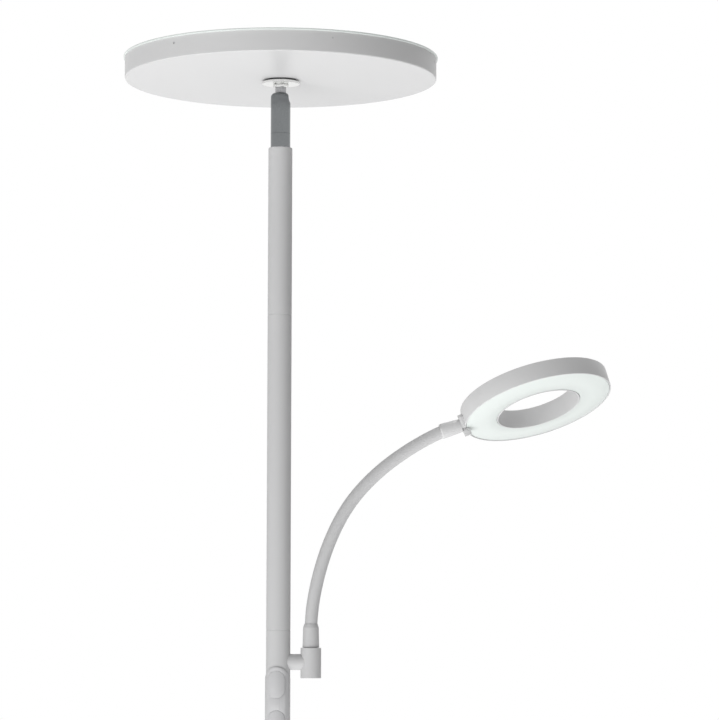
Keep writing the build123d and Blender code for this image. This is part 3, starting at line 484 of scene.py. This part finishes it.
def spun(name, profile, steps, closed=True):
    """A turned piece about the Z axis, from (radius, height) points."""
    points = [(r, 0, z) for r, z in profile]
    if closed:
        points.append(points[0])
    obj = draw_line(name, points)
    bpy.ops.mesh.select_all(action="SELECT")
    bpy.ops.mesh.spin(steps=steps, angle=2 * pi, center=(0, 0, 0), axis=(0, 0, 1))
    bpy.ops.mesh.select_all(action="SELECT")
    bpy.ops.mesh.remove_doubles(threshold=WELD_GAP)
    finish_mesh()
    return obj


def round_edges(obj, width, segments=3, angle=radians(30)):
    """Rounds the edges that are sharper than an angle."""
    only(obj)
    bpy.ops.object.modifier_add(type="BEVEL")
    bevel = obj.modifiers[-1]
    bevel.width = width
    bevel.segments = segments
    bevel.limit_method = "ANGLE"
    bevel.angle_limit = angle
    bpy.ops.object.modifier_apply(modifier=bevel.name)


def moved(obj, place=None):
    """Moves a piece, where a place is given, and writes its place into its mesh."""
    only(obj)
    if place is not None:
        obj.matrix_world = place @ obj.matrix_world
    bpy.ops.object.transform_apply(location=True, rotation=True, scale=True)
    return obj


def settle(obj, place=None):
    """Puts a piece in its place and smooths all but its sharp edges."""
    moved(obj, place)
    bpy.ops.object.shade_smooth_by_angle(angle=SMOOTH_ANGLE)


def rounded_bar(name, size, radius, near, far):
    """A bar with rounded corners, by its width along X and length along Y, from near to far along Z."""
    start_clean()
    bpy.ops.mesh.primitive_plane_add(size=1, location=(0, 0, near))
    obj = bpy.context.object
    obj.name = obj.data.name = name
    obj.scale = (size[0], size[1], 1)
    bpy.ops.object.transform_apply(location=True, rotation=True, scale=True)
    bpy.ops.object.mode_set(mode="EDIT")
    bpy.ops.mesh.select_all(action="SELECT")
    bpy.ops.mesh.bevel(offset=radius, segments=CORNER_STEPS, affect="VERTICES")
    bpy.ops.mesh.remove_doubles(threshold=WELD_GAP)
    bpy.ops.mesh.select_all(action="SELECT")
    bpy.ops.mesh.extrude_region_move(TRANSFORM_OT_translate={"value": (0, 0, far - near)})
    finish_mesh()
    return obj


def round_tool(radius, low, high):
    """An upright cylinder to cut with."""
    return spun("tool", [(0, low), (radius, low), (radius, high), (0, high)], TOOL_STEPS, closed=False)


def cut(obj, tool, operation="DIFFERENCE"):
    """Cuts a piece with a tool, which is used up."""
    only(obj)
    bpy.ops.object.modifier_add(type="BOOLEAN")
    modifier = obj.modifiers[-1]
    modifier.operation = operation
    modifier.solver = "EXACT"
    modifier.object = tool
    bpy.ops.object.modifier_apply(modifier=modifier.name)
    only(tool)
    bpy.ops.object.delete()


def dress(obj, slot, *nodes, finish=None):
    """Gives a piece the finish of its slot or another one, and hides the frame's nodes that it replaces."""
    obj.data.materials.clear()
    obj.data.materials.append((finish or FINISHES[slot])())
    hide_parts(*nodes)


def neck_stations():
    """Each link's start and the last one's end: the point, the slope above +X and the bend's centre."""
    (x, z), slope = NECK_START, radians(90)
    stations = []
    for turn in LINK_TURNS:
        bend = LINK_LENGTH / radians(turn)
        centre = Vector((x + bend * sin(slope), 0, z - bend * cos(slope)))
        stations.append((Vector((x, 0, z)), slope, centre))
        slope -= radians(turn)
        x, z = centre.x - bend * sin(slope), centre.z + bend * cos(slope)
    stations.append((Vector((x, 0, z)), slope, None))
    return stations


def along_link(index, share):
    """The point a share of the way along a link, and the slope there."""
    _, slope, centre = neck_stations()[index]
    turn = radians(LINK_TURNS[index])
    bend = LINK_LENGTH / turn
    slope -= turn * share
    return Vector((centre.x - bend * sin(slope), 0, centre.z + bend * cos(slope))), slope


def neck_end_place():
    """At the neck's end, with Z along the neck and Y downwards across it."""
    point, slope, _ = neck_stations()[-1]
    along = Vector((cos(slope), 0, sin(slope)))
    side = Vector((0, -1, 0))
    turn = Matrix((side, along.cross(side), along)).transposed().to_4x4()
    return Matrix.Translation(point) @ turn


def panel_place(height):
    """On the pole's axis at a height, with Z towards the control panel's front and Y upwards."""
    turn = Matrix.Rotation(PANEL_TURN, 4, "Z") @ Matrix.Rotation(pi / 2, 4, "X")
    return Matrix.Translation((0, 0, height)) @ turn


def ring_place():
    """At the middle of the ring's underside, with X away from the neck and Z up through the ring."""
    outwards = Vector((cos(RING_TILT), 0, sin(RING_TILT)))
    level = Vector((-outwards.z, 0, outwards.x))
    up = level * cos(RING_ROLL) + Vector((0, 1, 0)) * sin(RING_ROLL)
    side = up.cross(outwards)
    turn = Matrix((outwards, side, up)).transposed().to_4x4()
    return Matrix.Translation(Vector(RING_CENTRE) + outwards * RING_SHIFT) @ turn


# ---- operators

class LAMP_OT_cad_finishes(bpy.types.Operator):
    """Gives every piece of the frame its own finish, or else that of its slot"""

    bl_idname = "lamp.cad_finishes"
    bl_label = "Finish the frame's pieces"

    def execute(self, context):
        for entry in frame["record"]["subparts"]:
            obj = frame["nodes"][entry["node"]]
            obj.data.materials.clear()
            finish = NODE_FINISHES.get(entry["node"], FINISHES[entry["material_slot"]])
            obj.data.materials.append(finish())
        return {"FINISHED"}


class LAMP_OT_gooseneck(bpy.types.Operator):
    """Makes the gooseneck's smooth sleeve, one stretch for each hinge"""

    bl_idname = "lamp.gooseneck"
    bl_label = "Gooseneck"

    CIRCLE_POINTS = 32
    STEPS_PER_LINK = 12

    def stretch(self, context, hinge):
        """From one link's middle to the next one's, or on to the neck's end for the outer two."""
        sizes = context.scene.lamp_sizes
        last_hinge = len(LINK_TURNS) - 1
        first = 0.0 if hinge == 1 else 0.5
        last = 1.0 if hinge == last_hinge else 0.5
        start, slope = along_link(hinge - 1, first)
        start_clean()
        bpy.ops.mesh.primitive_circle_add(
            vertices=self.CIRCLE_POINTS, radius=sizes.neck_diameter / 2, fill_type="NOTHING",
            location=start, rotation=(0, pi / 2 - slope, 0))
        obj = context.object
        obj.name = obj.data.name = f"neck_sleeve_{hinge}"
        bpy.ops.object.transform_apply(location=True, rotation=True, scale=True)
        bpy.ops.object.mode_set(mode="EDIT")
        bpy.ops.mesh.select_all(action="SELECT")
        stations = neck_stations()
        for index, share in ((hinge - 1, 1 - first), (hinge, last)):
            bpy.ops.mesh.spin(
                steps=round(self.STEPS_PER_LINK * share), angle=radians(LINK_TURNS[index]) * share,
                center=stations[index][2], axis=(0, -1, 0))
        bpy.ops.mesh.select_all(action="SELECT")
        bpy.ops.mesh.remove_doubles(threshold=WELD_GAP)
        bpy.ops.mesh.fill_holes(sides=0)
        finish_mesh()
        settle(obj)
        nodes = [f"gooseneck_link_{hinge}"]
        if hinge == last_hinge:
            nodes.append(f"gooseneck_link_{hinge + 1}")
        dress(obj, "silver_paint", *nodes)
        point, slope, _ = stations[hinge]
        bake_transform(obj)

    def execute(self, context):
        for hinge in range(1, len(LINK_TURNS)):
            self.stretch(context, hinge)
        return {"FINISHED"}


class LAMP_OT_ring_light(bpy.types.Operator):
    """Makes the reading light's housing, a channel bent into a ring, and its diffuser"""

    bl_idname = "lamp.ring_light"
    bl_label = "Ring light"

    STEPS = 144
    WALL = 1.2 * MM
    ROOF = 1.5 * MM

    # how far the inner wall reaches below the outer one
    INNER_DROP = 1.6 * MM

    # the diffuser: how deep it sits, the gap about it, its thickness, the bulge of its face and its edge
    RECESS = 0.4 * MM
    GAP = 0.3 * MM
    DIFFUSER = 2.0 * MM
    CROWN = 0.35 * MM
    DIFFUSER_EDGE = 0.3 * MM

    def execute(self, context):
        sizes = context.scene.lamp_sizes
        outer, inner, high = sizes.ring_diameter / 2, sizes.ring_hole / 2, sizes.ring_height
        wall, roof, low = self.WALL, high - self.ROOF, -self.INNER_DROP
        housing = spun("ring_shell", [
            (outer, 0), (outer, high), (inner, high), (inner, low),
            (inner + wall, low), (inner + wall, roof), (outer - wall, roof), (outer - wall, 0)], self.STEPS)
        round_edges(housing, sizes.ring_edge)
        settle(housing, ring_place())
        dress(housing, "painted_aluminium", "ring_housing")
        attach(housing, "reading_light")
        near, far = inner + wall + self.GAP, outer - wall - self.GAP
        near_z, far_z = self.RECESS + low, self.RECESS
        middle, middle_z = (near + far) / 2, (near_z + far_z) / 2 - self.CROWN
        lens = spun("ring_lens", [
            (near, near_z), (middle, middle_z), (far, far_z),
            (far, far_z + self.DIFFUSER), (near, near_z + self.DIFFUSER)], self.STEPS)
        round_edges(lens, self.DIFFUSER_EDGE)
        settle(lens, ring_place())
        # the diffuser's finish carries painted shade about the hole
        dress(lens, "opal", "ring_diffuser", finish=ring_opal_painted_shade)
        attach(lens, "reading_light")
        return {"FINISHED"}


class LAMP_OT_ring_mount(bpy.types.Operator):
    """Makes the ferrule at the gooseneck's end and the saddle that holds the ring"""

    bl_idname = "lamp.ring_mount"
    bl_label = "Ring mount"

    # the ferrule's reach along the neck from the neck's end, its lean and its edges
    STEPS = 48
    FERRULE_START = -14.5 * MM
    FERRULE_END = 5.0 * MM
    FERRULE_LEAN = radians(3.4)
    FERRULE_EDGE = 0.3 * MM
    EDGE_ANGLE = radians(20)

    # its bores, and its radii from the mouth on the neck to the foot at the saddle
    NECK_BORE = 5.8 * MM
    WIRE_BORE = 3.2 * MM
    MOUTH = 6.4 * MM
    MOUTH_DEPTH = 1.0 * MM
    BELLY = 6.95 * MM
    BELLY_DEPTH = 5.0 * MM
    BELLY_END = 6.9 * MM
    FOOT = 6.1 * MM

    # the saddle's block and how far down it sits
    SADDLE_SIZE = (15.0 * MM, 20.4 * MM)
    SADDLE_CORNER = 4.0 * MM
    SADDLE_DROP = 1.8 * MM
    SADDLE_DEPTH = 6.4 * MM
    SADDLE_EDGE = 0.5 * MM

    # where its lip under the ring's far half begins, its gap to the ring, and the cutting bar's corners
    LIP_EDGE = 0.5 * MM
    CLEARANCE = 0.02 * MM
    TOOL_CORNER = MM / 10

    def ferrule(self):
        near, far = self.FERRULE_START, self.FERRULE_END
        body = spun("ring_ferrule_turned", [
            (self.NECK_BORE, near), (self.MOUTH, near), (self.BELLY, near + self.MOUTH_DEPTH),
            (self.BELLY_END, near + self.BELLY_DEPTH), (self.FOOT, far), (self.WIRE_BORE, far),
            (self.WIRE_BORE, 0), (self.NECK_BORE, 0)], self.STEPS)
        round_edges(body, self.FERRULE_EDGE, angle=self.EDGE_ANGLE)
        pivot = Matrix.Translation((0, 0, near))
        lean = pivot @ Matrix.Rotation(-self.FERRULE_LEAN, 4, "X") @ pivot.inverted()
        settle(body, neck_end_place() @ lean)
        dress(body, "painted_aluminium", "ring_ferrule")
        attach(body, "reading_light")

    def saddle(self, context):
        start, clear = self.FERRULE_END, self.CLEARANCE
        end = start + self.SADDLE_DEPTH
        body = rounded_bar("ring_saddle_block", self.SADDLE_SIZE, self.SADDLE_CORNER, start, end)
        moved(body, neck_end_place() @ Matrix.Translation((0, self.SADDLE_DROP, 0)))
        radius = context.scene.lamp_sizes.ring_diameter / 2 + clear
        reach = self.SADDLE_SIZE[1]
        cut(body, moved(round_tool(radius, -clear, 2 * reach), ring_place()))
        near_half = rounded_bar("tool", (2 * reach, 2 * reach), self.TOOL_CORNER, -2 * reach, clear)
        cut(body, moved(near_half, ring_place() @ Matrix.Translation((-radius, self.LIP_EDGE - reach, 0))))
        round_edges(body, self.SADDLE_EDGE)
        settle(body)
        dress(body, "painted_aluminium", "ring_saddle")
        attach(body, "reading_light")

    def execute(self, context):
        self.ferrule()
        self.saddle(context)
        return {"FINISHED"}


class LAMP_OT_uplight_trim(bpy.types.Operator):
    """Makes the uplight's diffuser plate with its rounded lip, and the lock nut under the flange"""

    bl_idname = "lamp.uplight_trim"
    bl_label = "Uplight trim"

    STEPS = 180
    SPIGOT = (141.85 * MM, 138.85 * MM)
    SPIGOT_DEPTH = 4.0 * MM
    NUT_TURN = radians(16)
    NUT_CHAMFER = 0.5 * MM
    NUT_EDGE = 0.12 * MM

    # the nut's round faces as a share of its flats, and how far the cutting tool stands over its corners
    NUT_FACE = 0.98
    CONE_MARGIN = MM / 10

    def plate(self, context):
        low, high = LENS_Z, LENS_Z + LENS_THICK
        outer, inner = self.SPIGOT
        foot = low - self.SPIGOT_DEPTH
        plate = spun("uplight_lens", [
            (0, high), (LENS_RADIUS, high), (LENS_RADIUS, low), (outer, low),
            (outer, foot), (inner, foot), (inner, low), (0, low)], self.STEPS, closed=False)
        round_edges(plate, context.scene.lamp_sizes.lip_radius)
        settle(plate)
        dress(plate, "opal", "head_diffuser")
        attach(plate, "uplight")

    def nut(self, context):
        low, high = NUT_SPAN
        flats = context.scene.lamp_sizes.nut_flats
        corner, edge = flats / sqrt(3), flats / 2 * self.NUT_FACE
        start_clean()
        bpy.ops.mesh.primitive_circle_add(
            vertices=6, radius=corner, fill_type="NGON",
            location=(0, 0, low), rotation=(0, 0, self.NUT_TURN))
        nut = context.object
        nut.name = nut.data.name = "lock_nut_hex"
        bpy.ops.object.transform_apply(location=True, rotation=True, scale=True)
        bpy.ops.object.mode_set(mode="EDIT")
        bpy.ops.mesh.select_all(action="SELECT")
        bpy.ops.mesh.extrude_region_move(TRANSFORM_OT_translate={"value": (0, 0, high - low)})
        finish_mesh()
        chamfer, over = self.NUT_CHAMFER, corner + self.CONE_MARGIN
        cone = spun("tool", [
            (0, low), (edge, low), (over, low + chamfer), (over, high - chamfer), (edge, high), (0, high)],
            TOOL_STEPS, closed=False)
        cut(nut, cone, "INTERSECT")
        cut(nut, round_tool(THREAD_HOLE / 2, low - MM, high + MM))
        round_edges(nut, self.NUT_EDGE, 2)
        settle(nut)
        # the nut, like the flange, takes the lighter copy of the joint metal: painted light reflection
        dress(nut, "joint_chrome", "lock_nut", finish=painted_light_metal)
        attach(nut, "uplight")

    def execute(self, context):
        self.plate(context)
        self.nut(context)
        return {"FINISHED"}


class LAMP_OT_pole_top(bpy.types.Operator):
    """Makes the pole's top tube, with a rounded shoulder under the ball joint"""

    bl_idname = "lamp.pole_top"
    bl_label = "Pole top"

    STEPS = 96
    SEAM_EDGE = 0.3 * MM
    ARC_STEPS = 6

    def execute(self, context):
        sizes = context.scene.lamp_sizes
        outer, bore, round_off = sizes.pole_diameter / 2, POLE_BORE / 2, sizes.pole_shoulder
        low, high = TOP_TUBE
        profile = [(bore, low), (outer - self.SEAM_EDGE, low), (outer, low + self.SEAM_EDGE)]
        for step in range(self.ARC_STEPS + 1):
            turn = pi / 2 * step / self.ARC_STEPS
            profile.append((outer - round_off * (1 - cos(turn)), high - round_off * (1 - sin(turn))))
        tube = spun("pole_top_tube", profile + [(bore, high)], self.STEPS)
        settle(tube)
        dress(tube, "silver_paint", "upper_tube")
        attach(tube, "stand")
        return {"FINISHED"}


class LAMP_OT_controls(bpy.types.Operator):
    """Makes the control panel's bezel and the two buttons, modelled once and copied"""

    bl_idname = "lamp.controls"
    bl_label = "Controls"

    # the radius of the bezel's hollow about the tube, and the heights that the round tools reach
    BORE = 11.03 * MM
    SPAN = (PANEL_Z - PANEL_SIZE[1], PANEL_Z + PANEL_SIZE[1])

    # how rounded the bezel's edges are, and how sharp an edge has to be to be rounded
    BEZEL_EDGE = 0.25 * MM
    EDGE_ANGLE = radians(40)

    # where a button's back lies, and how far its face leans back from its lower end up
    BUTTON_BACK = 6.2 * MM
    BUTTON_EDGE = 0.3 * MM
    BUTTON_LEAN = radians(1.9)

    def button_bar(self, name, margin, near, far):
        """A bar of the button's outline, larger by a margin all round."""
        width, length = (size + 2 * margin for size in BUTTON_SIZE)
        return rounded_bar(name, (width, length), width / 2 - SLIVER, near, far)

    def bezel(self, context):
        corner = PANEL_SIZE[0] / 2 - SLIVER
        bezel = rounded_bar("control_bezel_shell", PANEL_SIZE, corner, 0, 2 * PANEL_RADIUS)
        moved(bezel, panel_place(PANEL_Z))
        cut(bezel, round_tool(PANEL_RADIUS, *self.SPAN), "INTERSECT")
        cut(bezel, round_tool(self.BORE, *self.SPAN))
        for height in (PANEL_Z + BUTTON_STEP, PANEL_Z - BUTTON_STEP):
            hole = self.button_bar("tool", context.scene.lamp_sizes.button_gap, 0, 2 * PANEL_RADIUS)
            cut(bezel, moved(hole, panel_place(height)))
        round_edges(bezel, self.BEZEL_EDGE, 2, self.EDGE_ANGLE)
        settle(bezel)
        dress(bezel, "button_plastic", "control_bezel")
        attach(bezel, "stand")

    def buttons(self):
        cap = self.button_bar("button_cap_up", 0, self.BUTTON_BACK, 2 * PANEL_RADIUS)
        moved(cap, panel_place(PANEL_Z + BUTTON_STEP))
        face = round_tool(BUTTON_RADIUS, *self.SPAN)
        foot = Matrix.Translation((0, 0, PANEL_Z + BUTTON_STEP - BUTTON_SIZE[1] / 2))
        across = Matrix.Rotation(PANEL_TURN, 4, "Z") @ Vector((1, 0, 0))
        lean = Matrix.Rotation(-self.BUTTON_LEAN, 4, across)
        cut(cap, moved(face, foot @ lean @ foot.inverted()), "INTERSECT")
        round_edges(cap, self.BUTTON_EDGE, angle=self.EDGE_ANGLE)
        settle(cap)
        dress(cap, "button_plastic", "button_up")
        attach(cap, "up_button")
        only(cap)
        bpy.ops.object.duplicate(linked=False)
        lower = bpy.context.object
        lower.name = lower.data.name = "button_cap_down"
        settle(lower, Matrix.Translation((0, 0, -2 * BUTTON_STEP)))
        dress(lower, "button_plastic", "button_down")
        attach(lower, "down_button")

    def execute(self, context):
        self.bezel(context)
        self.buttons()
        return {"FINISHED"}


class LAMP_OT_stage(bpy.types.Operator):
    """Sets up the pale floor, the soft lights, the white surroundings and the camera"""

    bl_idname = "lamp.stage"
    bl_label = "Stage"

    FLOOR_SIZE = 14.0
    FLOOR_COLOUR = (0.86, 0.86, 0.86, 1)
    FLOOR_ROUGHNESS = 0.8

    # the camera's place, how it is turned, and its lens and sensor in millimetres
    CAMERA_PLACE = (0.07315, -3.0, 1.22078)
    CAMERA_PITCH = radians(95.705)
    CAMERA_ROLL = radians(0.117)
    CAMERA_LENS = 164.875
    SENSOR_WIDTH = 36.0

    # the surroundings' strength as a light, and each soft light's name, place, target, width and watts
    WORLD_LIGHT = 0.22
    LIGHTS = (
        ("Left light", (-2.3, -2.6, 1.5), (0, 0, 1.4), 2.8, 41.0),
        ("Low light", (-0.8, -1.7, 0.03), (-0.8, -1.7, 3), 1.6, 34.0),
        ("Floor light", (0, 0, 0.02), (0, 0, 3), 3.0, 25.0),
    )

    # the broad light from overhead
    OVERHEAD_PLACE = (0, 0, 4)
    OVERHEAD_TURN = (radians(-8), radians(6), 0)
    OVERHEAD_SPREAD = radians(35)
    OVERHEAD_LIGHT = 1.5

    def floor(self):
        start_clean()
        bpy.ops.mesh.primitive_plane_add(size=self.FLOOR_SIZE, location=(0, 0, 0))
        floor = bpy.context.object
        floor.name = "floor"
        material = bpy.data.materials.new("Pale floor")
        material.use_nodes = True
        tree = material.node_tree
        settings = {"Base Color": self.FLOOR_COLOUR, "Roughness": self.FLOOR_ROUGHNESS}
        feed(tree, tree.nodes["Principled BSDF"], settings)
        floor.data.materials.append(material)

    def surroundings(self, context):
        """White where the camera, a reflection or a clear part sees them, and dimmer as a light."""
        world = bpy.data.worlds.new("Studio")
        context.scene.world = world
        world.use_nodes = True
        tree = world.node_tree
        rays = new_node(tree, "ShaderNodeLightPath", (-900, 0)).outputs
        seen = math_in(tree, (-700, 0), "MAXIMUM", rays["Is Camera Ray"], rays["Is Glossy Ray"])
        seen = math_in(tree, (-500, 0), "MAXIMUM", seen, rays["Is Transmission Ray"])
        strength = new_node(tree, "ShaderNodeMapRange", (-250, 0))
        feed(tree, strength, {"Value": seen, "To Min": self.WORLD_LIGHT, "To Max": 1.0})
        background = {"Color": (1, 1, 1, 1), "Strength": strength.outputs["Result"]}
        feed(tree, tree.nodes["Background"], background)

    def lights(self, context):
        for name, place, target, size, power in self.LIGHTS:
            start_clean()
            aim = (Vector(target) - Vector(place)).to_track_quat("-Z", "Y").to_euler()
            bpy.ops.object.light_add(type="AREA", location=place, rotation=aim)
            lamp = context.object
            lamp.name = name
            lamp.data.size = size
            lamp.data.energy = power
            lamp.visible_camera = False
            lamp.visible_glossy = False
        start_clean()
        bpy.ops.object.light_add(type="SUN", location=self.OVERHEAD_PLACE, rotation=self.OVERHEAD_TURN)
        context.object.name = "Overhead light"
        context.object.data.energy = self.OVERHEAD_LIGHT
        context.object.data.angle = self.OVERHEAD_SPREAD

    def camera(self, context):
        start_clean()
        turn = Matrix.Rotation(self.CAMERA_PITCH, 4, "X") @ Matrix.Rotation(self.CAMERA_ROLL, 4, "Z")
        bpy.ops.object.camera_add(location=self.CAMERA_PLACE, rotation=turn.to_euler())
        camera = context.object
        camera.data.lens = self.CAMERA_LENS
        camera.data.sensor_width = self.SENSOR_WIDTH
        context.scene.camera = camera

    def execute(self, context):
        self.floor()
        self.surroundings(context)
        self.lights(context)
        self.camera(context)
        context.scene.view_settings.view_transform = "Standard"
        return {"FINISHED"}


OPERATORS = (
    LAMP_OT_cad_finishes, LAMP_OT_gooseneck, LAMP_OT_ring_light, LAMP_OT_ring_mount,
    LAMP_OT_uplight_trim, LAMP_OT_pole_top, LAMP_OT_controls, LAMP_OT_stage)


class VIEW3D_PT_floor_lamp(bpy.types.Panel):
    """Lists the lamp's pieces, sizes and colours in the sidebar"""

    bl_label = "Floor lamp"
    bl_idname = "VIEW3D_PT_floor_lamp"
    bl_space_type = "VIEW_3D"
    bl_region_type = "UI"
    bl_category = "Floor lamp"

    def draw(self, context):
        for group in (context.scene.lamp_sizes, context.scene.lamp_colours):
            for name in group.__annotations__:
                self.layout.prop(group, name)
        for operator in OPERATORS:
            self.layout.operator(operator.bl_idname)


CLASSES = (LampSizes, LampColours) + OPERATORS + (VIEW3D_PT_floor_lamp,)


def register():
    for cls in CLASSES:
        bpy.utils.register_class(cls)
    bpy.types.Scene.lamp_sizes = bpy.props.PointerProperty(type=LampSizes)
    bpy.types.Scene.lamp_colours = bpy.props.PointerProperty(type=LampColours)


def unregister():
    del bpy.types.Scene.lamp_colours
    del bpy.types.Scene.lamp_sizes
    for cls in reversed(CLASSES):
        bpy.utils.unregister_class(cls)


def main():
    register()
    bpy.ops.lamp.cad_finishes()
    bpy.ops.lamp.gooseneck()
    bpy.ops.lamp.ring_light()
    bpy.ops.lamp.ring_mount()
    bpy.ops.lamp.uplight_trim()
    bpy.ops.lamp.pole_top()
    bpy.ops.lamp.controls()
    bpy.ops.lamp.stage()


if __name__ == "__main__":
    main()
